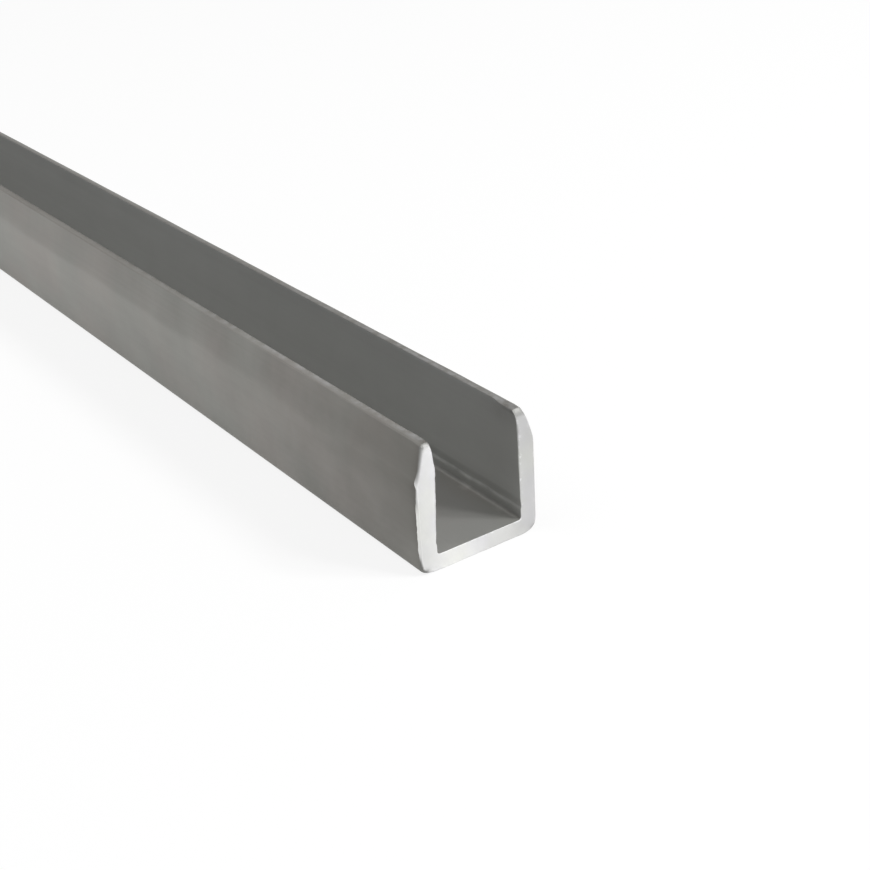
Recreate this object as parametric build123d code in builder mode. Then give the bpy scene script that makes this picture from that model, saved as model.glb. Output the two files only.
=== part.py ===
from build123d import *
import os

os.makedirs("parts", exist_ok=True)

# An extruded aluminium U channel, 15 x 15 x 2 mm, sawn to a 1 m bar.
# Millimetres. X runs along the bar, Y across it and Z up, with the slot open upward.
# The origin is on the web's underside, at the middle of the bar's length and width.

# Overall sizes
length = 1000.0
width = 15.0
height = 15.0

# Walls
flange_wall = 2.0
web_wall = 2.0

# Outer bevel that thins each flange, up to the narrow land along its tip
bevel_height = 4.0
tip_land = 0.85

# Radii of the section, outside and inside
outer_radius = 1.0
bevel_radius = 1.0
tip_radius = 0.3
inner_radius = 0.4

# Shallow groove on the slot side, low on each flange: a steep slope in and a longer one out
groove_rise = 1.2
groove_lower_slope = 0.55
groove_upper_slope = 0.85
groove_depth = 0.11
groove_radius = 0.8
groove_blend_radius = 3.0

# Sawn ends: every edge of the cut is broken, and the flange tips are dubbed over
end_break = 0.2
dub_length = 1.0
dub_height = 1.7

# Places in the section that follow from the sizes
inner_wall = width / 2 - flange_wall
groove_foot = web_wall + groove_rise
groove_floor = groove_foot + groove_lower_slope
groove_top = groove_floor + groove_upper_slope
bevel_foot = height - bevel_height
land_edge = inner_wall + tip_land

with BuildPart() as channel_section:
    # Half of the section, then its mirror image across the middle of the web
    with BuildSketch(Plane.YZ) as section:
        with BuildLine():
            Polyline(
                (0, 0),
                (width / 2, 0),
                (width / 2, bevel_foot),
                (land_edge, height),
                (inner_wall, height),
                (inner_wall, groove_top),
                (inner_wall + groove_depth, groove_floor),
                (inner_wall, groove_foot),
                (inner_wall, web_wall),
                (0, web_wall),
                close=True,
            )
        make_face()
        for corner, radius in (
            ((width / 2, 0), outer_radius),
            ((width / 2, bevel_foot), bevel_radius),
            ((land_edge, height), tip_radius),
            ((inner_wall, height), tip_radius),
            ((inner_wall, groove_top), groove_blend_radius),
            ((inner_wall + groove_depth, groove_floor), groove_radius),
            ((inner_wall, groove_foot), groove_radius),
            ((inner_wall, web_wall), inner_radius),
        ):
            fillet(section.vertices().sort_by_distance(corner)[0], radius)
        mirror(about=Plane.YZ)
    extrude(amount=length / 2, both=True)

    # Every edge of the two cuts is broken with a file
    cuts = channel_section.faces().filter_by(Axis.X)
    chamfer(cuts.edges(), end_break)

    # What dubbing takes off the tips, seen from the side: all that lies outside a quarter ellipse
    with BuildSketch(Plane.XZ):
        for end in (-1, 1):
            with Locations((end * length / 2, height)):
                Rectangle(2 * dub_length, 2 * dub_height)
            with Locations((end * (length / 2 - dub_length), height - dub_height)):
                Ellipse(dub_length, dub_height, mode=Mode.SUBTRACT)
    extrude(amount=width, both=True, mode=Mode.SUBTRACT)

channel_section.part.label = "channel_section"
export_step(channel_section.part, "parts/channel_section.step")
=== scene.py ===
import math

import bpy
import numpy as np
from mathutils import Matrix, Vector


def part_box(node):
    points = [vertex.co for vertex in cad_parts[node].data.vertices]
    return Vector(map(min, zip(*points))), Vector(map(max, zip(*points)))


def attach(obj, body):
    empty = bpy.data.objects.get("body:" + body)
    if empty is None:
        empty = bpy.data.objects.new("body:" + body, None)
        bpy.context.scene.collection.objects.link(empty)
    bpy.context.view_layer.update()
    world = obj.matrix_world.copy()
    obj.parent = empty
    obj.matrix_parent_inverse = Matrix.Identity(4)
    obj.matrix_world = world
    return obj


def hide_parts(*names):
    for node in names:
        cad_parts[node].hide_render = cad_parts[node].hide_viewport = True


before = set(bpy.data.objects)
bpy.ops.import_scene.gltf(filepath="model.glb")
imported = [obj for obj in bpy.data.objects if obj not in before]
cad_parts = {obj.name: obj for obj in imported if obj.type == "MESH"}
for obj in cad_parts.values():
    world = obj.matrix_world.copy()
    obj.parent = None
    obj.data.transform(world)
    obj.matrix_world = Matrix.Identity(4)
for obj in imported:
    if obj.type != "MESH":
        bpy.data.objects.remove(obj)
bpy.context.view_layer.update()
barLow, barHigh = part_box("channel_section")
scene = bpy.context.scene
mm = 0.001
print("frame loaded, bar", [round(side, 4) for side in barHigh - barLow])

# The drawn bar, in millimetres. Its length, width and height come from the frame. Pairs are for the
# flanges at -Y and +Y.
bar = {
    "length": (barHigh.x - barLow.x) / mm,
    "width": (barHigh.y - barLow.y) / mm,
    "height": (barHigh.z - barLow.z) / mm,
    "flangeWall": 2.0,
    "webWall": 2.0,
    "bevelHeights": (4.2, 3.7),  # outer bevel of each flange, from the tip down
    "landInner": (5.47, 5.55),  # flat left on each tip, from the bar's middle
    "landOuter": (6.46, 6.38),
    "leanHeight": 4.0,  # the top of the slot's wall leans towards the land's inner edge
    "leanRadius": 20.0,
    "outerRadius": 1.0,
    "bevelRadius": 4.0,
    "tipOuterRadii": (0.22, 0.18),
    "tipInnerRadius": 0.1,
    "innerRadius": 0.4,
    "grooveTop": 4.55,  # shallow groove along the foot of each flange, on the slot side
    "grooveFloor": 3.52,
    "grooveFoot": 3.18,
    "grooveDepth": 0.095,
    "grooveRadii": (3.0, 0.6, 0.6),
    "grooveWander": 0.07,  # how far the groove's foot strays up and down
    "grooveWave": 8.0,  # and the longest wave of that
    "grooveSeeds": (31, 32),
    "outerRuns": (0, 14, 46, 16),  # cells along the outer face's straight runs, from the tip
    "outerArcs": (6, 6, 12),
    "innerRuns": (0, 16, 32, 3, 3, 4, 16),
    "innerArcs": (6, 2, 3, 4, 3, 8),
    "landSteps": 8,  # cells across the wall
    "middleStep": 9.0,  # spacing of the rings, in the middle and at the cuts
    "endStep": 0.35,
    "stepReach": 120.0,  # stretch over which it grows, and by which power
    "stepPower": 1.3,
    "endZone": 30.0,  # stretch at each end with a texture share of its own
}

# How each cut was finished. "Back" says how far the rounding of a sawn edge reaches along the bar,
# with the dubbed tip, and "In" how far into the cut, in tables of height and value for -Y and +Y.
# "lip" is the burr in the slot at -Y: each bump's height, spread and size.
cutEnds = {
    "nearCut": {  # the cut at +X
        "dub": ((0.65, 1.3), (0.75, 1.4)),  # how far each tip is dubbed back and down
        "outerBack": (
            ((0, 0.3), (1.8, 0.3), (3.1, 0.5), (5.5, 0.5), (7.9, 0.42), (9.6, 0.28), (10.4, 0.15),
             (10.9, 0.45), (11.6, 0.3), (12.4, 0.24), (13.8, 0.44), (14.4, 0.5), (15, 0.68)),
            ((0, 0.08), (12.9, 0.08), (13.7, 0.26), (14.3, 0.49), (15, 0.9)),
        ),
        "outerIn": (
            ((0, 0.07), (9.5, 0.08), (10.6, 0.12), (11.8, 0.28), (13.8, 0.3), (15, 0.18)),
            ((0, 0.06), (12.6, 0.06), (13.6, 0.13), (15, 0.15)),
        ),
        "innerBack": (
            ((0, 0.03), (11.5, 0.03), (13, 0.1), (15, 0.14)),
            ((0, 0.04), (4, 0.06), (9, 0.16), (13, 0.16), (14.5, 0.06)),
        ),
        "innerIn": (
            ((0, 0.02), (11.5, 0.02), (13, 0.07), (15, 0.1)),
            ((0, 0.03), (4, 0.05), (9, 0.13), (13, 0.15), (14.5, 0.04)),
        ),
        "corner": ((0.5, 0.44), (0.5, 0.32)),  # added back and in at each outer corner below
        "lip": ((11.5, 2.6, 0.34), (7.8, 2.2, 0.15)),
        "floor": (0.03, 0.02),  # back and in at the slot's floor, the underside and the tips
        "under": (0.3, 0.2),
        "tip": (0.1, 0.08),
        "bentIn": (0.07, 0.3),  # how far each tip leans into the slot beside the cut
        "roundTip": (0.2, 0.13),  # how far the edges of its land drop there
        "dullFace": (  # how much less fresh the sawn metal is on the walls
            ((0, 0), (2, 0.03), (8, 0.03), (9, 0), (13.9, 0), (14.2, 0.1), (14.5, 0.36),
             (14.75, 0.8), (15, 0.95)),
            ((0, 0), (3, 0), (7, 0.04), (10.5, 0.04), (12.5, 0.11), (13.7, 0.14), (14.1, 0.25),
             (14.4, 0.8), (14.7, 0.85), (15, 0.8)),
        ),
        "dullOuter": (  # and on their rounded edges, which stay all dull for longer above 1
            ((0, 4), (0.9, 3), (1.4, 1.8), (2, 0.8), (2.5, 0.1), (3, 0), (7.4, 0),
             (8.4, 0.5), (10.2, 0.5), (10.6, 0), (11.2, 0.5), (12.4, 1.1), (15, 1.1)),
            ((0, 0.35), (1.2, 0.5), (2.2, 0), (13.2, 0), (14, 0.3), (15, 0.5)),
        ),
        "dullInner": (
            ((0, 0), (11.5, 0), (12.8, 0.9), (15, 1.2)),
            ((0, 0), (13.6, 0), (15, 0.5)),
        ),
        "dullFoot": (0.5, 0.4),  # and round each outer corner below
        "seed": 11,
    },
    "farCut": {  # the cut at -X
        "dub": ((0.9, 1.8), (0.7, 1.5)),
        "outerBack": (
            ((0, 0.2), (4, 0.3), (9, 0.22), (12.5, 0.3), (15, 1)),
            ((0, 0.22), (6, 0.15), (11, 0.28), (13.6, 0.3), (15, 0.85)),
        ),
        "outerIn": (((0, 0.15), (15, 0.12)), ((0, 0.12), (15, 0.12))),
        "innerBack": (((0, 0.08), (15, 0.1)), ((0, 0.1), (15, 0.12))),
        "innerIn": (((0, 0.06), (15, 0.08)), ((0, 0.06), (15, 0.08))),
        "corner": ((0.3, 0.2), (0.4, 0.25)),
        "lip": ((7, 2, 0.06),),
        "floor": (0.14, 0.1),
        "under": (0.2, 0.18),
        "tip": (0.03, 0.03),
        "bentIn": (0, 0),
        "roundTip": (0.2, 0.2),
        "dullFace": (((0, 0), (13.2, 0), (15, 0.4)), ((0, 0), (13.5, 0), (15, 0.4))),
        "dullOuter": (
            ((0, 0.8), (2, 0.4), (3, 0), (11, 0), (15, 0.7)),
            ((0, 0.5), (2, 0.3), (4, 0), (12, 0.1), (15, 0.8)),
        ),
        "dullInner": (((0, 0), (12, 0), (15, 0.6)), ((0, 0), (10, 0), (15, 0.7))),
        "dullFoot": (0.6, 0.3),
        "seed": 5,
    },
    "leastBack": 0.03,
    "slideLength": 6.0,  # stretch over which the rings close up towards a dubbed tip
    "cornerReach": 0.95,  # spread of the extra rounding round an outer corner
    "dullReach": 0.6,  # and of its dullness along the web
    "dullSquash": 1.1,  # which reaches less far up the wall by this
    "rimWidth": 0.28,  # strip of painted glints along the edges of the cut
    "outerRim": 0.35,  # share of them along the outer edge
    "breakSteps": 5,  # rings in each rounded edge
    "breakRipple": 0.15,  # how uneven it is, as a share of it
    "breakWave": 5.0,
    "landRipple": 0.05,  # how far the outer edge of the land wanders
    "landWave": 26.0,
    "landSeeds": (21, 22),
    "bentReach": 4.6,  # stretch beside a cut where a tip leans, and how far down it
    "bentDrop": 1.6,
    "roundReach": 1.8,  # the same for the rounding of its land
    "roundDrop": 1.2,
}


def filletArc(before, corner, after, radius, steps):
    # A rounded corner: from the tangent point on one side to that on the other, turning evenly
    # about a centre on the bisector, by the sine rule for points between two spokes.
    toBefore = (before - corner) / np.linalg.norm(before - corner)
    toAfter = (after - corner) / np.linalg.norm(after - corner)
    half = math.acos(float(toBefore @ toAfter)) / 2
    bisector = (toBefore + toAfter) / np.linalg.norm(toBefore + toAfter)
    centre = corner + bisector * radius / math.sin(half)
    first = corner + toBefore * radius / math.tan(half) - centre
    last = corner + toAfter * radius / math.tan(half) - centre
    turn = math.pi - 2 * half
    share = np.linspace(0, 1, steps + 1)[:, None]
    spokes = np.sin((1 - share) * turn) * first + np.sin(share * turn) * last
    return centre + spokes / math.sin(turn)


def roundedPath(corners, radii, runSteps, arcSteps):
    # Straight runs, each divided evenly, joined by rounded corners. With no steps in the first
    # run the path starts where its first arc does.
    corners = np.array(corners, float)
    stretches = []
    last = corners[0]
    for k, radius in enumerate(radii):
        arc = filletArc(corners[k], corners[k + 1], corners[k + 2], radius, arcSteps[k])
        stretches += [np.linspace(last, arc[0], runSteps[k], endpoint=False), arc[:-1]]
        last = arc[-1]
    stretches.append(np.linspace(last, corners[-1], runSteps[-1] + 1))
    return np.concatenate(stretches)


def halfPaths(size, flange):
    # One half's outer and inner face, drawn at +Y, from the tip to the web's middle
    half = size["width"] / 2
    innerWall = half - size["flangeWall"]
    landInner, landOuter = size["landInner"][flange], size["landOuter"][flange]
    landMiddle = (landInner + landOuter) / 2
    height = size["height"]
    outer = roundedPath(
        [(landMiddle, height), (landOuter, height), (half, height - size["bevelHeights"][flange]),
         (half, 0), (0, 0)],
        [size["tipOuterRadii"][flange], size["bevelRadius"], size["outerRadius"]],
        size["outerRuns"], size["outerArcs"])
    inner = roundedPath(
        [(landMiddle, height), (landInner, height), (innerWall, height - size["leanHeight"]),
         (innerWall, size["grooveTop"]), (innerWall + size["grooveDepth"], size["grooveFloor"]),
         (innerWall, size["grooveFoot"]), (innerWall, size["webWall"]), (0, size["webWall"])],
        [size["tipInnerRadius"], size["leanRadius"], *size["grooveRadii"], size["innerRadius"]],
        size["innerRuns"], size["innerArcs"])
    return outer, inner


def wallPaths(size):
    # The wall's outer and inner face as matched paths of (y, z), from the tip at -Y to that at +Y
    left, right = halfPaths(size, 0), halfPaths(size, 1)
    return [np.concatenate([near * (-1, 1), far[::-1][1:]]) for near, far in zip(left, right)]


def ripple(place, longest, seed, count=7):
    # Unevenness of about -1 to 1: the sum of share sin(2 pi (place / wave + phase)) over ever
    # shorter and lower waves, with seeded lengths and phases
    lengthFall, shareFall, lift = 0.61, 0.72, 1.7
    draw = np.random.default_rng(seed)
    total = np.zeros_like(place)
    weight = 0
    for k in range(count):
        share = shareFall ** k
        wave = longest * lengthFall ** k * draw.uniform(0.85, 1.15)
        total += share * np.sin(2 * np.pi * (place / wave + draw.uniform()))
        weight += share
    return lift * total / weight


def bump(place, middle, width):
    # A bell of height 1 around one place: exp(-((place - middle) / width)^2)
    return np.exp(-((place - middle) / width) ** 2)


def smoothStep(share):
    # 0 to 1 with level ends: 3 s^2 - 2 s^3
    share = np.clip(share, 0, 1)
    return share ** 2 * (3 - 2 * share)


def byHeight(level, pairs):
    # A value read off straight lines between the pairs' points
    return np.interp(level, *np.array(pairs).T)


def bothSides(place, level, tables):
    # The same from the table for -Y or +Y, by the side that the place is on
    return np.where(place < 0, byHeight(level, tables[0]), byHeight(level, tables[1]))


def ringNormals(ring):
    # Outward normals of a ring that runs counter-clockwise seen from +X: the chord between each
    # point's neighbours, turned a quarter to the right
    chord = np.roll(ring, -1, axis=0) - np.roll(ring, 1, axis=0)
    outward = np.stack([chord[:, 1], -chord[:, 0]], axis=1)
    return outward / np.linalg.norm(outward, axis=1)[:, None]


def dubDepth(ring, dubs, height):
    # How far back a dubbed tip stands at each point: a quarter ellipse seen from the side,
    # reach (1 - sqrt(1 - s^2)), where s runs from 0 at the drop below the tip to 1 at its top.
    depth = np.zeros(len(ring))
    for side, (reach, drop) in zip((-1, 1), dubs):
        share = np.clip((ring[:, 1] - (height - drop)) / drop, 0, 1)
        own = ring[:, 0] * side > 0
        depth[own] = (reach * (1 - np.sqrt(1 - share ** 2)))[own]
    return depth


def ringStations(size):
    # Places of the rings along half the bar, from its middle out: even steps in the middle, and
    # beside the cut steps that shrink by a power of the distance that is left.
    half = size["length"] / 2
    endStep = size["endStep"]
    place = [0.0]
    while half - place[-1] > 1.5 * endStep:
        left = half - place[-1]
        growth = min(1, (left / size["stepReach"]) ** size["stepPower"])
        step = endStep + (size["middleStep"] - endStep) * growth
        place.append(place[-1] + min(step, left - endStep))
    return np.array(place + [half])


def cornerAway(section, size, squash=1.0):
    # Straight distance from the middle of the nearer rounded outer corner below, with the height
    # counted more by the squash
    middle = size["outerRadius"] * (1 - math.sqrt(0.5))
    aside = size["width"] / 2 - middle - np.abs(section[:, 0])
    return np.hypot(aside, squash * (section[:, 1] - middle))


def faceFresh(section, cut, size, ends):
    # How fresh the sawn metal looks by its place in the section: less by height on each wall, and
    # less round the outer corners below, as a bell over the distance.
    away = cornerAway(section, size, ends["dullSquash"])
    foot = bump(away, 0, ends["dullReach"]) * np.where(section[:, 0] < 0, *cut["dullFoot"])
    return (1 - bothSides(section[:, 0], section[:, 1], cut["dullFace"])) * (1 - foot)


def cutBreaks(shape, cut, size, ends, corner, uneven):
    # How far back the tips stand and how far the sawn edge's rounding reaches back and in, round the
    # ring: values for upright and lying faces, mixed by the squares of the normal's two parts
    ring, normals, isOuter, height = shape["ring"], shape["normals"], shape["isOuter"], size["height"]
    right = (ring[:, 0] > 0).astype(int)
    level = ring[:, 1]
    outerBack, outerIn, innerBack, innerIn = [
        bothSides(ring[:, 0], level, cut[name])
        for name in ("outerBack", "outerIn", "innerBack", "innerIn")]
    outerBack = np.maximum(outerBack - dubDepth(ring, cut["dub"], height), ends["leastBack"])
    sideBack, sideIn = np.where(isOuter, outerBack, innerBack), np.where(isOuter, outerIn, innerIn)
    facesUp, isTip = normals[:, 1] > 0, level > height / 2
    lyingBack, lyingIn = [
        np.where(facesUp, np.where(isTip, cut["tip"][k], cut["floor"][k]), cut["under"][k])
        for k in (0, 1)]
    upright = normals[:, 0] ** 2
    lip = sum(rise * bump(level, middle, spreading) for middle, spreading, rise in cut["lip"])
    lip = lip * ~isOuter * (1 - right)
    back = upright * (sideBack + lip) + (1 - upright) * lyingBack
    into = upright * (sideIn - lip) + (1 - upright) * lyingIn
    back += corner * np.array(cut["corner"])[right, 0]
    into += corner * np.array(cut["corner"])[right, 1]
    back, into = back * uneven, into * uneven
    return dubDepth(ring - into[:, None] * normals, cut["dub"], height), back, into


def tipBend(x, ring, size, ends):
    # How far a tip's points move beside a cut, sideways and down. It leans into the slot, fully at
    # the land's inner edge and not at its outer one, as a bell down the flange. Its edges drop by
    # the square of the place across the land. Both rise along the bar by a smooth step.
    bend = np.zeros((*x.shape, 2))
    for side, name in ((-1, "farCut"), (1, "nearCut")):
        away = size["length"] / 2 - side * x
        leaning = smoothStep(2 - 2 * away / ends["bentReach"])
        rounded = smoothStep(1 - away / ends["roundReach"])
        for flange, sign in enumerate((-1, 1)):
            inner, outer = size["landInner"][flange], size["landOuter"][flange]
            own = ring[:, 0] * sign > 0
            share = np.clip((outer - ring[:, 0] * sign) / (outer - inner), 0, 1)
            share = share * bump(ring[:, 1], size["height"], ends["bentDrop"]) * own
            bend[..., 0] += sign * ends[name]["bentIn"][flange] * share * leaning
            across = np.clip(2 * (ring[:, 0] * sign - inner) / (outer - inner) - 1, -1.2, 1.2)
            drop = ends["roundDrop"]
            top = np.clip((ring[:, 1] - size["height"] + drop) / drop, 0, 1) * own
            bend[..., 1] += ends[name]["roundTip"][flange] * across ** 2 * top * rounded
    return bend


def sectionRing(size):
    # The section as one closed ring, along the outer face and back along the inner one. The girth
    # is the distance round it.
    outer, inner = wallPaths(size)
    share = np.linspace(0, 1, size["landSteps"] + 1)[1:-1, None]
    farLand = outer[-1] + (inner[-1] - outer[-1]) * share
    nearLand = inner[0] + (outer[0] - inner[0]) * share
    ring = np.concatenate([outer, farLand, inner[::-1], nearLand])
    lengths = np.linalg.norm(np.roll(ring, -1, axis=0) - ring, axis=1)
    return {"ring": ring, "normals": ringNormals(ring), "isOuter": np.arange(len(ring)) < len(outer),
            "girth": np.concatenate([[0], np.cumsum(lengths)]), "rows": len(outer)}


def barSurface(size, ends):
    # The side of the bar: the section's ring carried along X. Near a cut the rings slide back with
    # the dubbed tips, then turn inwards through a quarter ellipse, back sin(t) and in (1 - cos(t)),
    # the rounding of the sawn edge.
    shape = sectionRing(size)
    ring, normals, isOuter = shape["ring"], shape["normals"], shape["isOuter"]
    corner = bump(cornerAway(ring, size), 0, ends["cornerReach"]) * isOuter
    halfPlaces = ringStations(size)
    places = np.concatenate([-halfPlaces[::-1], halfPlaces[1:]])
    steps = ends["breakSteps"]
    turns = np.linspace(0, np.pi / 2, steps + 1)[1:, None]
    x = np.empty((len(places) + 2 * steps, len(ring)))
    inset = np.zeros_like(x)
    x[steps:-steps] = places[:, None]
    for side, name in ((-1, "farCut"), (1, "nearCut")):
        cut = ends[name]
        uneven = 1 + ends["breakRipple"] * ripple(shape["girth"][:-1], ends["breakWave"], cut["seed"])
        dub, back, into = cutBreaks(shape, cut, size, ends, corner, uneven)
        closing = smoothStep(1 - (size["length"] / 2 - side * places) / ends["slideLength"])
        x[steps:-steps] -= side * closing[:, None] * (dub + back)
        last = x[-steps - 1 if side == 1 else steps]
        rings = slice(-steps, None) if side == 1 else slice(steps - 1, None, -1)
        x[rings], inset[rings] = last + side * back * np.sin(turns), into * (1 - np.cos(turns))

    sideways = normals[:, 0] * np.sign(ring[:, 0])
    landEdge = bump(sideways, 0.55, 0.35) * (ring[:, 1] > size["height"] - 0.4)
    for side, seed in zip((-1, 1), ends["landSeeds"]):
        wander = np.clip(0.5 + 0.5 * ripple(x[:, 0], ends["landWave"], seed), 0, 1)[:, None]
        inset += ends["landRipple"] * wander * landEdge * (ring[:, 0] * side > 0)
    section = ring[None] - inset[..., None] * normals[None]
    onFoot = bump(ring[:, 1], size["grooveFoot"] + 0.15, 0.5) * ~isOuter * normals[:, 0] ** 2
    for side, seed in zip((-1, 1), size["grooveSeeds"]):
        stray = size["grooveWander"] * ripple(x, size["grooveWave"], seed, 5)
        section[..., 1] += stray * onFoot * (ring[:, 0] * side > 0)
    section -= tipBend(x, ring, size, ends)
    along = np.concatenate([np.full(steps, places[0]), places, np.full(steps, places[-1])])
    return {**shape, "points": np.concatenate([x[..., None], section], axis=2), "along": along,
            "turns": steps}


def gridQuads(numbers, u, v, flip):
    # A grid of vertex numbers as quads, and the places of their corners on the texture
    spots = np.stack(np.broadcast_arrays(u, v), axis=-1)
    faces, corners = [
        np.stack([grid[:-1, :-1], grid[1:, :-1], grid[1:, 1:], grid[:-1, 1:]], axis=2)
        .reshape(-1, 4, *grid.shape[2:]) for grid in (numbers, spots)]
    return (faces[:, ::-1], corners[:, ::-1]) if flip else (faces, corners)


# Shares of the square texture, as left, right, bottom and top
texture = {
    "middle": (0.01, 0.99, 0.01, 0.60),
    "farEnd": (0.01, 0.49, 0.62, 0.80),
    "nearEnd": (0.51, 0.99, 0.62, 0.80),
    "farCut": (0.01, 0.99, 0.82, 0.89),
    "nearCut": (0.01, 0.99, 0.91, 0.98),
    "breakShare": 0.5,  # millimetres of texture for each ring of a rounded edge
}


def spread(values, low, high):
    # Stretches rising values over a range
    return low + (high - low) * (values - values.min()) / (values.max() - values.min())


def sideParts(skin, size):
    # The side in three stretches, each with its own share of the texture: faces, the places of their
    # corners on it, and whether they lie in a cut's rounded edge
    girth, steps = skin["girth"], skin["turns"]
    total, count = skin["points"].shape[:2]
    index = np.arange(total * count).reshape(total, count)
    closed = np.concatenate([index, index[:, :1]], axis=1)
    ringsIn = np.arange(1, steps + 1)
    ringsIn = np.concatenate([-ringsIn[::-1], np.zeros(total - 2 * steps), ringsIn])
    along = skin["along"] + texture["breakShare"] * ringsIn
    limit = size["length"] / 2 - size["endZone"]
    bounds = 0, *np.searchsorted(along, (-limit, limit)), total - 1
    parts = []
    for name, start, stop in zip(("farEnd", "middle", "nearEnd"), bounds, bounds[1:]):
        left, right, bottom, top = texture[name]
        part = slice(start, stop + 1)
        if name == "middle":
            u = spread(along[part], left, right)[:, None]
            v = spread(girth, bottom, top)[None]
        else:
            u = spread(girth, left, right)[None]
            v = spread(along[part], bottom, top)[:, None]
        ringNumber = np.repeat(np.arange(start, stop), count)
        isCut = (ringNumber < steps) | (ringNumber >= total - 1 - steps)
        parts.append((*gridQuads(closed[part], u, v, True), isCut))
    return parts


def cutPart(name, skin, start, size, ends):
    # A cut as a grid across the wall, between the last ring's outer and inner points: the points
    # inside it, numbered from start, the same three of its faces, and the points' masks. It stands
    # back by the dubbing of each tip. The painted glint along the rim falls evenly to nothing over
    # its width, from 1 at the edge towards the slot and from less at the outer one.
    rows, cells = skin["rows"], size["landSteps"]
    total, count = skin["points"].shape[:2]
    side, ringRow = (1, total - 1) if name == "nearCut" else (-1, 0)
    edges = skin["points"][ringRow]
    grid = np.empty((rows, cells + 1), np.int64)
    grid[:, 0] = np.arange(rows)
    grid[-1, 1:-1] = np.arange(rows, rows + cells - 1)
    grid[:, -1] = np.arange(rows + cells - 1, 2 * rows + cells - 1)[::-1]
    grid[0, 1:-1] = np.arange(2 * rows + cells - 1, count)[::-1]
    outerEdge, innerEdge = edges[grid[1:-1, 0]], edges[grid[1:-1, -1]]
    grid += ringRow * count
    grid[1:-1, 1:-1] = start + np.arange((rows - 2) * (cells - 1)).reshape(rows - 2, cells - 1)

    share = np.linspace(0, 1, cells + 1)[None, 1:-1, None]
    inside = (outerEdge[:, None] * (1 - share) + innerEdge[:, None] * share).reshape(-1, 3)
    back = dubDepth(inside[:, 1:], ends[name]["dub"], size["height"])
    inside[:, 0] = side * (size["length"] / 2 - back)
    reach = np.linalg.norm(outerEdge - innerEdge, axis=1)[:, None] / ends["rimWidth"]
    share = share[..., 0]
    atOuter, atInner = [np.clip(1 - reach * part, 0, 1) for part in (share, 1 - share)]
    # painted glints along the rim of the cut
    rimGlint = np.maximum(atInner, ends["outerRim"] * atOuter).ravel()
    masks = {"rimGlint": rimGlint, "fresh": faceFresh(inside[:, 1:], ends[name], size, ends)}
    left, right, bottom, top = texture[name]
    u = spread(np.arange(rows), left, right)[:, None]
    v = spread(np.arange(cells + 1), bottom, top)[None]
    faces = *gridQuads(grid, u, v, name == "farCut"), np.ones((rows - 1) * cells, bool)
    return inside, faces, masks


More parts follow.
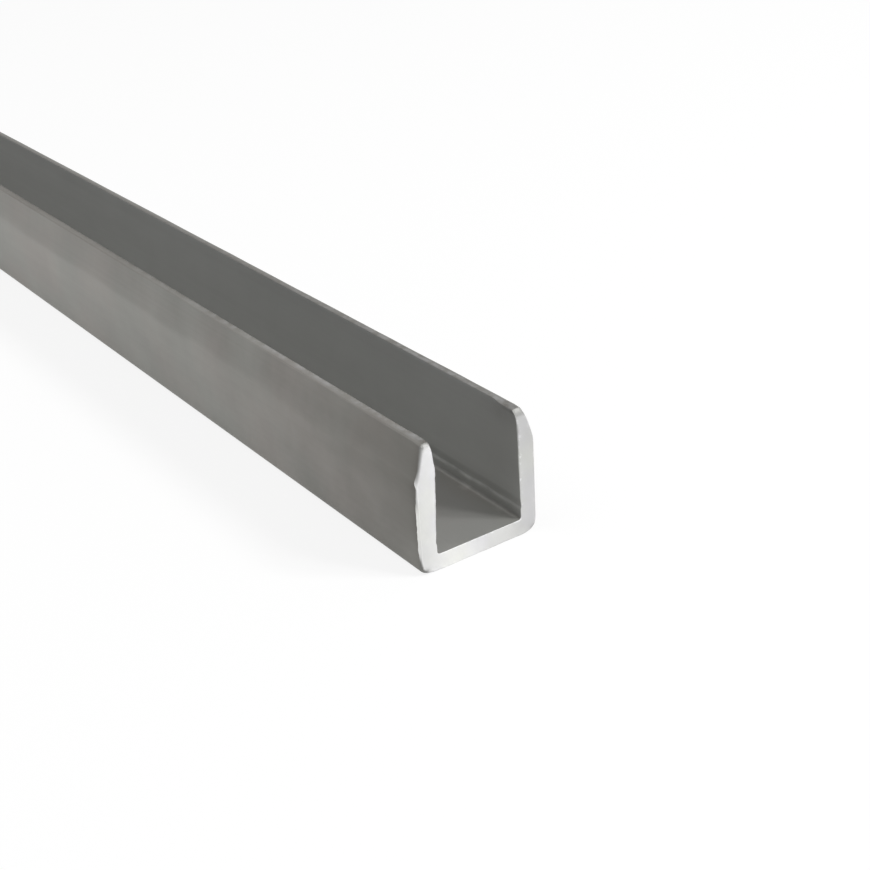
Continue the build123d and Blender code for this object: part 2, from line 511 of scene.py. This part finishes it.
# Marks of use, with painted light and shade. Reaches are in millimetres, and tables give a share by
# the height or, where it says so, by another distance. Pairs of tables are for -Y and +Y.
marks = {
    "tipDepth": 0.5,  # how far down the tips of the flanges count as tip
    "shadeReach": 26.0,  # painted shade beside each cut, by height on the outer faces, fading over this reach
    "shadeOutside": (
        (0, 0.36), (1.3, 0.4), (3, 0.51), (6, 0.72), (9, 0.86), (11, 0.97), (13, 0.93), (15, 0.88)),
    # painted shade on the slot's walls, fading from each cut
    "shadeInSlot": 0.1,
    "slotShadeAtCut": 0.28,  # more painted shade on the slot's walls, close to the cut
    "slotShadeAtCutReach": 7.0,
    "cornerShade": 0.3,  # painted shade in the slot's two corners, doubled close to the cut
    "cornerShadeReach": 5.0,
    "edgeFilm": 0.22,  # a dark line on the outer faces, right beside the cut
    "edgeFilmReach": 0.9,
    "tipFilm": 0.6,  # and on the tips
    "tipFilmReach": 2.8,
    "landShadeInner": (  # painted shade at the lands' inner edges, by the distance from the cut
        ((0, 0.5), (15, 0.5), (31, 0.5), (38, 0.7), (50, 0.86), (75, 0.97)),
        ((0, 0.58), (12, 0.72), (31, 0.75), (38, 0.79), (50, 0.86), (75, 0.92)),
    ),
    "landShadeOuter": (  # and at their outer edges
        ((0, 0.5), (15, 0.5), (31, 0.42), (50, 0.4), (75, 0.56), (100, 0.62)),
        ((0, 0.56), (12, 0.68), (31, 0.65), (50, 0.5), (75, 0.4), (100, 0.36)),
    ),
    "landInSlot": (0, 0.6),  # share of the slot's lighter painted tone on the lands
    "webInSlot": ((-5, 0.5), (2.5, 0.5), (5, 0.1)),  # and on the web, by the place across it
    "handledReach": 50.0,  # stretch where the outside is blotchy from handling
    "handledAway": 0.35,  # share of that along the rest of the bar
    # Painted light and shade outside by height: darker towards the bottom and on the bevel, lighter
    # between
    "lightOutside": (
        (0, 0.34), (1.3, 0.41), (3, 0.54), (6, 0.71), (9, 0.8), (10.4, 0.78), (11.1, 0.38),
        (12, 0.29), (15, 0.28)),
    # Painted light and shade on the slot's walls by height: darker in the corner, a painted highlight
    # line at the groove's lower lip, darker towards the tips
    "lightInSlot": (
        (2.4, 0.3), (2.7, 0.42), (3, 0.5), (3.15, 0.72), (3.35, 0.85), (3.5, 0.7), (3.65, 0.45),
        (4.2, 0.5), (4.7, 0.77), (5.5, 0.77), (8, 0.67), (10.5, 0.53), (13, 0.36), (14.3, 0.23),
        (15, 0.2)),
    "lightOnWeb": ((-5, 0.12), (-2, 0.06), (0, 0.02), (5, 0)),  # painted light and shade on the web, by the place across it
    "bevelWander": 0.3,  # how far the bevel's foot strays up and down
    "bevelWave": 31.0,
    "bevelSeed": 41,
    "footSpread": 0.5,  # how far the painted lines along the groove's foot vary, lighter and darker
    "footWave": 6.0,
    "footSeed": 43,
    "footFade": 6.0,  # stretch beside the cut without those painted lines
    "footLevel": 3.3,  # middle of the painted highlight line on the wall, and its spread
    "footWidth": 0.25,
    "footAside": 5.2,  # and of that at the edge of the slot's floor
    "rubFarTip": 0.9,  # share of the rubbing and painted highlight that the tip at +Y gets
    "rubReach": 55.0,  # inner edges of the tips, rubbed and painted bright as a highlight
    "rubAway": 0.06,  # share of that along the rest of the bar
    "rubIn": 0.25,  # middle of the rubbed, painted highlight strip from the land's inner edge, and its spread
    "rubWidth": 0.45,
}


def fading(gap, reach, away):
    # A share that falls from 1 at a cut, as a bell, to what is left far from it
    return away + (1 - away) * bump(gap, 0, reach)


def sidePlaces(skin, size):
    # Where each point of the side lies: across, its height, the gap to the nearer cut, how upright
    # it is, and whether it is on a tip's top, on the strip at its inner edge or in the slot
    ring, normals, isOuter = skin["ring"], skin["normals"], skin["isOuter"]
    x, across, level = skin["points"][..., 0], ring[:, 0], ring[:, 1]
    onTip = level > size["height"] - marks["tipDepth"]
    landInner, landOuter = [np.where(across < 0, *size[name]) for name in ("landInner", "landOuter")]
    aside = np.abs(across)
    return dict(
        x=x, across=across, level=level, isOuter=isOuter, up=normals[:, 1],
        gap=np.maximum(size["length"] / 2 - np.abs(x), 0),
        upright=normals[:, 0] ** 2,
        onTop=onTip * np.clip((normals[:, 1] - 0.3) / 0.6, 0, 1),
        overLand=np.clip((aside - landInner) / (landOuter - landInner), 0, 1),
        onStrip=onTip * bump(aside, landInner + marks["rubIn"], marks["rubWidth"]),
        facesSlot=~isOuter * (level < size["height"] - 0.05))


def paintedLightShare(at, size):
    # Painted light and shade, from shaded at 0 to lit at 1: outside by height, with the bevel darker,
    # which strays along the bar; in the slot by height on the walls, with a painted highlight line at
    # the groove's lower lip and darker towards the tips, and by place on the web, with painted lines
    # along the groove's foot that vary unevenly, lighter and darker
    wander = marks["bevelWander"] * ripple(at["x"], marks["bevelWave"], marks["bevelSeed"], 5)
    outside = byHeight(at["level"] + wander, marks["lightOutside"])
    onWeb = byHeight(at["across"], marks["lightOnWeb"])
    onWall = byHeight(at["level"], marks["lightInSlot"])
    inside = onWeb * (1 - at["upright"]) + onWall * at["upright"]
    onFloor = np.abs(np.abs(at["across"]) - marks["footAside"]) < 0.5
    lines = bump(at["level"], marks["footLevel"], marks["footWidth"])
    lines = lines + bump(at["level"], size["webWall"], 0.35) * onFloor
    lines = lines * (1 - bump(at["gap"], 0, marks["footFade"]))
    uneven = ripple(at["x"], marks["footWave"], marks["footSeed"], 6)
    inside = inside + marks["footSpread"] * uneven * lines
    return np.clip(np.where(at["isOuter"], outside, inside), 0, 1)


def filmAndShadeShare(at, size):
    # Film and painted shade: the painted shade that the outer faces and the slot have by height falls
    # off from the cut as exp(-gap / reach), and the lands' own painted shade is mixed across them.
    # The rest are
    # bells over the gap: painted shade in the slot and its corners, and film along the cut's edge and
    # on the tips.
    gap, upright = at["gap"], at["upright"]
    outwards = at["isOuter"] * np.clip(1 - 1.2 * np.maximum(at["up"], 0), 0, 1)
    inSlot = at["facesSlot"] * upright
    # painted shade by height on the outer faces and on the slot's walls
    handled = outwards * byHeight(at["level"], marks["shadeOutside"]) + inSlot * marks["shadeInSlot"]
    filmAndShade = np.exp(-gap / marks["shadeReach"]) * handled
    filmAndShade += marks["edgeFilm"] * outwards * bump(gap, 0, marks["edgeFilmReach"])
    filmAndShade += marks["slotShadeAtCut"] * inSlot * bump(gap, 0, marks["slotShadeAtCutReach"])
    inCorner = inSlot * 4 * (1 - upright) * (at["level"] < size["webWall"] + 1)
    filmAndShade += marks["cornerShade"] * inCorner * (1 + bump(gap, 0, marks["cornerShadeReach"]))
    atInner, atOuter = [
        bothSides(at["across"], gap, marks[name]) for name in ("landShadeInner", "landShadeOuter")]
    filmAndShade += (atInner * (1 - at["overLand"]) + atOuter * at["overLand"]) * at["onTop"]
    filmAndShade += marks["tipFilm"] * at["onStrip"] * bump(gap, 0, marks["tipFilmReach"])
    return np.clip(filmAndShade, 0, 1)


def freshShare(at, reached, ring, size, ends):
    # How fresh the rounded edges look: as the sawn face does there, but dull where they start and
    # fresher with their turn towards the cut
    rings = len(reached)
    fresh = np.ones((rings, len(ring)))
    nearTop = np.clip((at["level"] - size["height"] + 0.3) / 0.2, 0, 1)
    onSide = np.clip(2 * at["upright"] + nearTop, 0, 1)
    for own, name in ((slice(0, rings // 2), "farCut"), (slice(rings // 2, None), "nearCut")):
        cut = ends[name]
        outerEdge, innerEdge = [
            bothSides(at["across"], at["level"], cut[table]) for table in ("dullOuter", "dullInner")]
        edge = np.where(at["isOuter"], outerEdge, innerEdge) * onSide
        edge = np.clip(edge * (1 - reached[own, None]), 0, 1)
        fresh[own] = faceFresh(ring, cut, size, ends) * (1 - edge)
    return fresh


def sideMasks(skin, size, ends):
    # The masks, shares from 0 to 1 at each point of the side. How far a rounded edge has reached is
    # the mean of its two parts, (sin(t) + 1 - cos(t)) / 2.
    at = sidePlaces(skin, size)
    turned = np.linspace(0, np.pi / 2, skin["turns"] + 1)
    reached = (np.sin(turned) + 1 - np.cos(turned)) / 2
    between = np.zeros(len(skin["points"]) - 2 * len(reached))
    reached = np.concatenate([reached[::-1], between, reached])
    onWeb = (1 - at["upright"]) * (at["level"] < size["height"] / 2)
    onWeb = onWeb * byHeight(at["across"], marks["webInSlot"])
    onLand = at["onTop"] * np.where(at["across"] < 0, *marks["landInSlot"])
    # Where the slot's lighter painted tone goes: its walls, part of its web and the lands
    inSlot = at["facesSlot"] * (at["upright"] + onWeb) + onLand
    tipShare = np.where(at["across"] < 0, 1, marks["rubFarTip"])
    return {
        "inSlot": np.tile(inSlot, (len(skin["points"]), 1)),
        "paintedLight": paintedLightShare(at, size),
        "filmAndShade": filmAndShadeShare(at, size),
        # rubbing with a painted highlight along the tips' inner edges, fading from the cuts
        "rubbedAndHighlit": fading(at["gap"], marks["rubReach"], marks["rubAway"]) * at["onStrip"] * tipShare,
        "handled": fading(at["gap"], marks["handledReach"], marks["handledAway"]),
        "fresh": freshShare(at, reached, skin["ring"], size, ends),
        # painted glints on the cuts' rounded edges, growing with their turn
        "rimGlint": reached[:, None] * np.where(at["isOuter"], ends["outerRim"], 1),
    }


def makeBar(size, ends):
    # The bar as one closed skin: its side and its two cuts, with their texture, materials and masks
    skin = barSurface(size, ends)
    parts = sideParts(skin, size)
    vertices = [skin["points"].reshape(-1, 3)]
    masks = {name: [values.ravel()] for name, values in sideMasks(skin, size, ends).items()}
    for name in ("farCut", "nearCut"):
        inside, faces, ownMasks = cutPart(name, skin, sum(map(len, vertices)), size, ends)
        vertices.append(inside)
        parts.append(faces)
        for mask, values in masks.items():
            values.append(ownMasks.get(mask, np.zeros(len(inside))))
    faces, corners, isCut = (np.concatenate(arrays) for arrays in zip(*parts))

    middle = np.array([(barLow.x + barHigh.x) / 2, 0, barLow.z])
    mesh = bpy.data.meshes.new("channel_bar")
    mesh.from_pydata(np.concatenate(vertices) * mm + middle, [], faces.tolist())
    mesh.polygons.foreach_set("material_index", isCut.astype(np.int32))
    mesh.polygons.foreach_set("use_smooth", np.ones(len(mesh.polygons), bool))
    layer = mesh.uv_layers.new(name="OFBake")
    layer.data.foreach_set("uv", corners.astype(np.float32).ravel())
    for name, values in masks.items():
        held = mesh.attributes.new(name, "FLOAT", "POINT")
        held.data.foreach_set("value", np.concatenate(values).astype(np.float32))
    mesh.update()
    mesh.validate()
    piece = bpy.data.objects.new("channel_bar", mesh)
    scene.collection.objects.link(piece)
    return piece


def connect(tree, socket, value):
    # Links a socket to an input, or writes a plain value to it
    if isinstance(value, bpy.types.NodeSocket):
        tree.links.new(value, socket)
    else:
        socket.default_value = value


def outputs(tree, made, *values, **sockets):
    # A node's outputs, once its inputs are connected in their order or by name
    for socket, value in zip(made.inputs, values):
        connect(tree, socket, value)
    for name, value in sockets.items():
        connect(tree, made.inputs[name], value)
    return made.outputs


def node(tree, kind, *values, **sockets):
    # The outputs of a new shader node
    return outputs(tree, tree.nodes.new("ShaderNode" + kind), *values, **sockets)


def useGroup(tree, group, **sockets):
    # The output of a node group
    made = tree.nodes.new("ShaderNodeGroup")
    made.node_tree = group
    return outputs(tree, made, **sockets)[0]


def noise(tree, place, scale, **sockets):
    # Plain noise about 0.5
    return node(tree, "TexNoise", Vector=place, Scale=scale, **sockets)[0]


def drawnOut(tree, place, scale):
    # Places closer together, so that noise on them is drawn out
    return node(tree, "Mapping", Vector=place, Scale=scale)[0]


def maths(tree, operation, *values, clamp=False):
    # The result of one operation on numbers
    made = tree.nodes.new("ShaderNodeMath")
    made.operation, made.use_clamp = operation, clamp
    return outputs(tree, made, *values)[0]


def colourMaths(tree, operation, *values, **sockets):
    # The result of one operation on colours, part by part
    made = tree.nodes.new("ShaderNodeVectorMath")
    made.operation = operation
    return outputs(tree, made, *values, **sockets)[0]


def centred(tree, value, middle=0.5):
    # A value counted from the middle of its range
    return maths(tree, "SUBTRACT", value, middle)


def spreadOut(tree, value, gain, middle=0.5):
    # Contrast: (value - middle) gain + 0.5, held between 0 and 1
    return maths(tree, "MULTIPLY_ADD", centred(tree, value, middle), gain, 0.5, clamp=True)


def weighed(tree, share, first, second):
    # Two values mixed: first (1 - share) + second share
    rest = maths(tree, "MULTIPLY", first, maths(tree, "SUBTRACT", 1.0, share))
    return maths(tree, "ADD", rest, maths(tree, "MULTIPLY", second, share))


def blend(tree, share, first, second):
    # A colour between two, by a share from 0 to 1
    made = tree.nodes.new("ShaderNodeMix")
    made.data_type = "RGBA"
    inputs = [socket for socket in made.inputs if socket.enabled]
    for socket, value in zip(inputs, (share, first, second)):
        connect(tree, socket, (*value, 1.0) if isinstance(value, tuple) else value)
    return [socket for socket in made.outputs if socket.enabled][0]


def attribute(tree, name):
    # The value that the mesh holds at each point under this name
    made = tree.nodes.new("ShaderNodeAttribute")
    made.attribute_name = name
    return made.outputs["Fac"]


def newGroup(name, inputs, output):
    # An empty node group with a place and other named inputs, numbers by their default, and its
    # one output
    group = bpy.data.node_groups.new(name, "ShaderNodeTree")
    kinds = {"vector": "NodeSocketVector", "colour": "NodeSocketColor"}
    for label, value in (("Place", "vector"), *inputs):
        kind = kinds.get(value, "NodeSocketFloat")
        socket = group.interface.new_socket(label, in_out="INPUT", socket_type=kind)
        if value not in kinds:
            socket.default_value = value
    kind = kinds.get(output.lower(), "NodeSocketFloat")
    group.interface.new_socket(output, in_out="OUTPUT", socket_type=kind)
    given = group.nodes.new("NodeGroupInput").outputs
    return group, given, group.nodes.new("NodeGroupOutput").inputs[output]


def makeToolLines():
    # Lines left by a tool, broad and fine: noise on drawn-out places
    group, given, result = newGroup(
        "toolLines", [("Broad", 400.0), ("Fine", 3000.0), ("FineShare", 0.5)], "Lines")
    broad = noise(group, given["Place"], given["Broad"], Detail=2.0, Roughness=0.6)
    fine = noise(group, given["Place"], given["Fine"], Detail=3.0, Roughness=0.7)
    connect(group, result, weighed(group, given["FineShare"], broad, fine))
    return group


def makeBlotches():
    # Soft patches of handling and oxide: layered noise, spread to run from 0 to 1
    group, given, result = newGroup(
        "blotches", [("Size", 60.0), ("Sharpness", 2.0), ("Distortion", 0.0)], "Blotch")
    patches = noise(group, given["Place"], given["Size"], Detail=4.0, Roughness=0.55,
                    Distortion=given["Distortion"])
    connect(group, result, spreadOut(group, patches, given["Sharpness"]))
    return group


def makeTinge():
    # Patches of slightly different colour: it is multiplied by one of two tinges, chosen by noise
    inputs = [("Size", 190.0), ("Colour", "colour"), ("Warm", "colour"), ("Cool", "colour")]
    group, given, result = newGroup("tinge", inputs, "Colour")
    patches = noise(group, given["Place"], given["Size"], Detail=3.0, Roughness=0.5)
    tinge = blend(group, spreadOut(group, patches, 4.0), given["Warm"], given["Cool"])
    connect(group, result, colourMaths(group, "MULTIPLY", given["Colour"], tinge))
    return group


def makeEdgeLight():
    # Where an edge is painted bright, both for rubbed edges with a painted highlight and for painted
    # glints: a mask along the edge, broken up by noise
    group, given, result = newGroup(
        "edgeLight", [("Edge", 0.0), ("Breaks", 200.0), ("Contrast", 1.6), ("Threshold", 0.5),
                      ("Amount", 0.5)], "Bright")
    breaks = noise(group, given["Place"], given["Breaks"], Detail=3.0, Roughness=0.6)
    broken = spreadOut(group, breaks, given["Contrast"], given["Threshold"])
    lit = maths(group, "MULTIPLY", given["Edge"], broken)
    connect(group, result, maths(group, "MULTIPLY", lit, given["Amount"], clamp=True))
    return group


def newMaterial(name):
    # A material with its tree, its shader and the place on the object
    material = bpy.data.materials.new(name)
    material.use_nodes = True
    tree = material.node_tree
    return material, tree, tree.nodes["Principled BSDF"], node(tree, "TexCoord")["Object"]


# Sizes, Broad, Fine and Breaks are counts of noise per metre.
millFinish = {
    # dullTone and litTone: the shaded and lit ends of the painted light and shade outside
    "dullTone": (0.245, 0.239, 0.222),
    "litTone": (0.347, 0.339, 0.317),
    # the slot's tones, painted lighter than outside as light reaching into it: its shaded and lit
    # ends
    "slotShadedTone": (0.286, 0.288, 0.28),
    "slotLitTone": (0.512, 0.516, 0.502),
    # dark tone of the film and painted shade
    "filmAndShadeTone": (0.118, 0.112, 0.099),
    # tone of the rubbed edges and their painted highlight
    "rubbedHighlightTone": (0.4, 0.405, 0.415),
    "tinges": {  # patches of slightly different colour outside
        "Size": 95.0, "Warm": (1.015, 0.993, 0.995, 1.0), "Cool": (0.985, 1.005, 1.005, 1.0)},
    "lines": {"Broad": 700.0, "Fine": 4200.0, "FineShare": 0.45},  # left by the die
    "lineDraw": (0.004, 1.0, 1.0),  # how far the noise is drawn out along the bar
    "patchDraw": (0.3, 1.0, 1.0),
    "broadPatches": {"Size": 70.0, "Sharpness": 1.6},
    "smallPatches": {"Size": 150.0, "Sharpness": 1.4, "Distortion": 0.3},
    "smallShare": 0.4,
    "lineShare": 0.3,  # of the lines, beside the patches
    "unevenness": 0.55,  # how far patches and lines shift the tone
    "slotUnevenness": 0.4,
    "mottles": {"Size": 105.0, "Sharpness": 2.4},  # rounder patches outside
    "mottling": 0.9,
    "streaks": 0.7,  # how far the lines shift the tone by themselves
    "slotStreaks": 0.2,
    "smears": {"Size": 160.0, "Sharpness": 1.5, "Distortion": 0.6},
    "smearing": (0.5, 0.75),  # the factor on the film and painted shade: the first times the smears, plus the second
    # rubbed edges with a painted highlight, broken up
    "rubbingAndHighlight": {"Breaks": 650.0, "Contrast": 5.0, "Amount": 0.4},
    "metallic": 0.5,
    "roughness": 0.6,
    "roughnessSpread": 0.08,
    "lineHeight": 0.000004,
    "relief": 0.5,
}

# The sawn face's tones go by the place across the bar, in shares of its width from -Y.
sawnFinish = {
    "tones": (
        (0.005, (0.83, 0.833, 0.825)), (0.014, (0.69, 0.692, 0.685)), (0.127, (0.73, 0.73, 0.732)),
        (0.2, (0.785, 0.785, 0.78)), (0.333, (0.8, 0.8, 0.79)), (0.467, (0.718, 0.72, 0.712)),
        (0.567, (0.675, 0.677, 0.665)), (0.7, (0.645, 0.647, 0.633)), (0.833, (0.592, 0.594, 0.58)),
        (0.933, (0.566, 0.568, 0.558))),
    "dullTone": (0.19, 0.19, 0.18),
    # tone of the painted glints along the rim
    "glintTone": (0.82, 0.825, 0.83),
    "tinges": {"Size": 190.0, "Warm": (1.0, 1.002, 0.98, 1.0), "Cool": (1.0, 0.994, 1.02, 1.0)},
    "lines": {"Broad": 1500.0, "Fine": 6000.0, "FineShare": 0.5},  # left by the saw
    "lineDraw": (1.0, 0.05, 1.0),
    "sawAngle": 63.0,
    "patches": {"Size": 320.0, "Sharpness": 1.8},
    "lineShare": 0.4,
    "unevenness": 0.2,
    "rimGlints": {"Breaks": 1400.0, "Contrast": 9.0, "Threshold": 0.57, "Amount": 0.9},  # painted glints
    "metallic": 0.7,
    "roughness": 0.6,
    "roughnessSpread": 0.1,
    "lineHeight": 0.00001,
    "relief": 0.6,
}


def setFinish(tree, shader, look, colour, lines):
    # The shader's inputs: one metallic share, and a roughness and a relief that follow the lines
    connect(tree, shader.inputs["Base Color"], colour)
    shader.inputs["Metallic"].default_value = look["metallic"]
    smoothest = look["roughness"] - look["roughnessSpread"] / 2
    rough = maths(tree, "MULTIPLY_ADD", lines, look["roughnessSpread"], smoothest)
    connect(tree, shader.inputs["Roughness"], rough)
    relief = node(tree, "Bump", Height=lines, Strength=look["relief"], Distance=look["lineHeight"])
    connect(tree, shader.inputs["Normal"], relief[0])


def makeMill(look, toolLines, blotches, tinge, edgeLight):
    # The skin from the die: outside and in the slot a tone between dull and lit by the painted light
    # and shade mask, the slot's tones painted lighter, shifted by patches and lines, under the film
    # and painted shade and the rubbed edges with their painted highlight
    material, tree, shader, place = newMaterial("millFinish")
    along = drawnOut(tree, place, look["patchDraw"])
    lines = useGroup(tree, toolLines, Place=drawnOut(tree, place, look["lineDraw"]), **look["lines"])
    broad = useGroup(tree, blotches, Place=along, **look["broadPatches"])
    small = useGroup(tree, blotches, Place=place, **look["smallPatches"])
    patch = blend(tree, look["smallShare"], broad, small)
    shift = centred(tree, weighed(tree, look["lineShare"], patch, lines))
    mottle = centred(tree, useGroup(tree, blotches, Place=place, **look["mottles"]))
    mottle = maths(tree, "MULTIPLY", mottle, look["mottling"])
    mottle = maths(tree, "MULTIPLY_ADD", shift, look["unevenness"], mottle)
    # The tone follows the painted light and shade mask, with the die's streaks on it
    streak, paintedLight = centred(tree, lines), attribute(tree, "paintedLight")
    streaked = maths(tree, "MULTIPLY_ADD", streak, look["streaks"], paintedLight)
    tone = maths(tree, "MULTIPLY_ADD", mottle, attribute(tree, "handled"), streaked, clamp=True)
    outside = blend(tree, tone, look["dullTone"], look["litTone"])
    outside = useGroup(tree, tinge, Place=place, Colour=outside, **look["tinges"])
    streaked = maths(tree, "MULTIPLY_ADD", streak, look["slotStreaks"], paintedLight)
    tone = maths(tree, "MULTIPLY_ADD", shift, look["slotUnevenness"], streaked, clamp=True)
    # The slot's own tones, painted lighter for light that reaches into it
    inside = blend(tree, tone, look["slotShadedTone"], look["slotLitTone"])
    colour = blend(tree, attribute(tree, "inSlot"), outside, inside)
    smears = useGroup(tree, blotches, Place=along, **look["smears"])
    smears = maths(tree, "MULTIPLY_ADD", smears, *look["smearing"])
    # Film and painted shade darken the colour
    filmAndShade = maths(tree, "MULTIPLY", attribute(tree, "filmAndShade"), smears, clamp=True)
    colour = blend(tree, filmAndShade, colour, look["filmAndShadeTone"])
    # Rubbing and a painted highlight brighten the tips' inner edges
    bright = useGroup(tree, edgeLight, Place=place, Edge=attribute(tree, "rubbedAndHighlit"), **look["rubbingAndHighlight"])
    colour = blend(tree, bright, colour, look["rubbedHighlightTone"])
    setFinish(tree, shader, look, colour, lines)
    return material


def makeSawn(look, toolLines, blotches, tinge, edgeLight):
    # The sawn metal: a ramp of tones across the bar, made uneven by patches and the saw's lines,
    # with painted glints along the rim, and dull where the mask says so
    material, tree, shader, place = newMaterial("sawnCut")
    angle = (math.radians(look["sawAngle"]), 0, 0)
    turned = node(tree, "Mapping", Vector=place, Rotation=angle)[0]
    lines = useGroup(tree, toolLines, Place=drawnOut(tree, turned, look["lineDraw"]), **look["lines"])
    patch = useGroup(tree, blotches, Place=place, **look["patches"])
    tones = tree.nodes.new("ShaderNodeValToRGB")
    stops = tones.color_ramp.elements
    for k, (share, tone) in enumerate(look["tones"]):
        stop = stops[k] if k < 2 else stops.new(share)
        stop.position, stop.color = share, (*tone, 1.0)
    across = node(tree, "SeparateXYZ", place)["Y"]
    connect(tree, tones.inputs[0], maths(tree, "MULTIPLY_ADD", across, 1 / (bar["width"] * mm), 0.5))
    shift = centred(tree, weighed(tree, look["lineShare"], patch, lines))
    gain = maths(tree, "MULTIPLY_ADD", shift, look["unevenness"], 1.0)
    tinged = useGroup(tree, tinge, Place=place, Colour=tones.outputs[0], **look["tinges"])
    colour = colourMaths(tree, "SCALE", tinged, Scale=gain)
    # Painted glints along the rim
    bright = useGroup(tree, edgeLight, Place=place, Edge=attribute(tree, "rimGlint"), **look["rimGlints"])
    colour = blend(tree, bright, colour, look["glintTone"])
    colour = blend(tree, attribute(tree, "fresh"), look["dullTone"], colour)
    setFinish(tree, shader, look, colour, lines)
    return material


piece = makeBar(bar, cutEnds)
effects = makeToolLines(), makeBlotches(), makeTinge(), makeEdgeLight()
piece.data.materials.append(makeMill(millFinish, *effects))
piece.data.materials.append(makeSawn(sawnFinish, *effects))
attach(piece, "root")
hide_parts("channel_section")
print("bar made,", len(piece.data.polygons), "faces")

# The camera stands close over the near cut and looks back along the bar. Its place is counted
# from the foot of that cut, in metres.
camera = {
    "fromCut": (0.11006, -0.07782, 0.08301),
    "azimuth": 56.456,
    "elevation": 27.001,
    "roll": -3.757,
    "lens": 61.615,
    "sensor": 36.0,
    "clip": (0.005, 50.0),
}


def makeCamera(view):
    # Its axes come from the azimuth and the elevation, turned about the line of sight by the roll
    azimuth, elevation, roll = (math.radians(view[name]) for name in ("azimuth", "elevation", "roll"))
    flat = math.cos(elevation)
    back = Vector((math.sin(azimuth) * flat, -math.cos(azimuth) * flat, math.sin(elevation)))
    level = Vector((math.cos(azimuth), math.sin(azimuth), 0))
    rise = back.cross(level)
    right = level * math.cos(roll) + rise * math.sin(roll)
    up = rise * math.cos(roll) - level * math.sin(roll)
    data = bpy.data.cameras.new("view")
    data.lens, data.sensor_width = view["lens"], view["sensor"]
    data.clip_start, data.clip_end = view["clip"]
    made = bpy.data.objects.new("view", data)
    place = Vector((barHigh.x, (barLow.y + barHigh.y) / 2, barLow.z)) + Vector(view["fromCut"])
    turn = Matrix((right, up, back)).transposed()
    made.matrix_world = Matrix.Translation(place) @ turn.to_4x4()
    scene.collection.objects.link(made)
    scene.camera = made


studio = {
    "white": (1.0, 1.0, 1.0, 1.0),
    "worldLight": 0.4,  # of the white surround, on everything but what shows it
    "floorTone": (0.9, 0.9, 0.9, 1.0),
    "floorGlow": 0.85,  # share of it that is plain white where it shows
    "floorSize": 8.0,
    "floorGap": 0.00002,  # below the bar
    "lamps": {  # place, the point that it faces, width, height and watts
        "keyLeft": ((1.06, 0.38, 0.61), (0.5, 0.0, 0.01), 0.12, 0.12, 3.6),
        "keyRight": ((0.96, 0.49, 0.61), (0.5, 0.0, 0.01), 0.12, 0.12, 3.6),
        "above": ((0.1, -0.75, 1.6), (0.1, 0.0, 0.0), 1.0, 1.0, 6.0),
    },
}


def shownRays(tree):
    # 1 for a ray that shows the surround itself: from the camera, off metal or through glass
    rays = node(tree, "LightPath")
    shown = maths(tree, "ADD", rays["Is Camera Ray"], rays["Is Glossy Ray"])
    return maths(tree, "ADD", shown, rays["Is Transmission Ray"], clamp=True)


def makeWorld(look):
    # A white surround that is full where it shows and weaker as a light
    world = bpy.data.worlds.new("whiteSurround")
    world.use_nodes = True
    scene.world = world
    tree = world.node_tree
    background = tree.nodes["Background"]
    background.inputs["Color"].default_value = look["white"]
    shown = shownRays(tree)
    strength = maths(tree, "MULTIPLY_ADD", shown, 1.0 - look["worldLight"], look["worldLight"])
    connect(tree, background.inputs["Strength"], strength)
    world.cycles.sampling_method = "NONE"


def makeFloor(look):
    # A matt floor that is mostly plain white where it shows
    half = look["floorSize"] / 2
    mesh = bpy.data.meshes.new("floor")
    z = barLow.z - look["floorGap"]
    mesh.from_pydata([(-half, -half, z), (half, -half, z), (half, half, z), (-half, half, z)], [],
                     [(0, 1, 2, 3)])
    floor = bpy.data.objects.new("floor", mesh)
    scene.collection.objects.link(floor)
    material = bpy.data.materials.new("paleFloor")
    material.use_nodes = True
    tree = material.node_tree
    tree.nodes.clear()
    matt = node(tree, "BsdfDiffuse", look["floorTone"])[0]
    glow = node(tree, "Emission", look["white"])[0]
    share = maths(tree, "MULTIPLY", shownRays(tree), look["floorGlow"])
    node(tree, "OutputMaterial", Surface=node(tree, "MixShader", share, matt, glow)[0])
    mesh.materials.append(material)


def makeLamp(name, place, target, width, height, watts):
    # A flat lamp that faces its target and isn't seen
    data = bpy.data.lights.new(name, "AREA")
    data.shape = "RECTANGLE"
    data.size, data.size_y, data.energy = width, height, watts
    lamp = bpy.data.objects.new(name, data)
    lamp.location = place
    lamp.rotation_mode = "QUATERNION"
    lamp.rotation_quaternion = (Vector(target) - Vector(place)).to_track_quat("-Z", "Y")
    lamp.visible_camera = False
    scene.collection.objects.link(lamp)


makeCamera(camera)
makeWorld(studio)
makeFloor(studio)
for name, lamp in studio["lamps"].items():
    makeLamp(name, *lamp)
scene.view_settings.view_transform = "Standard"
print("camera, floor and lamps placed")
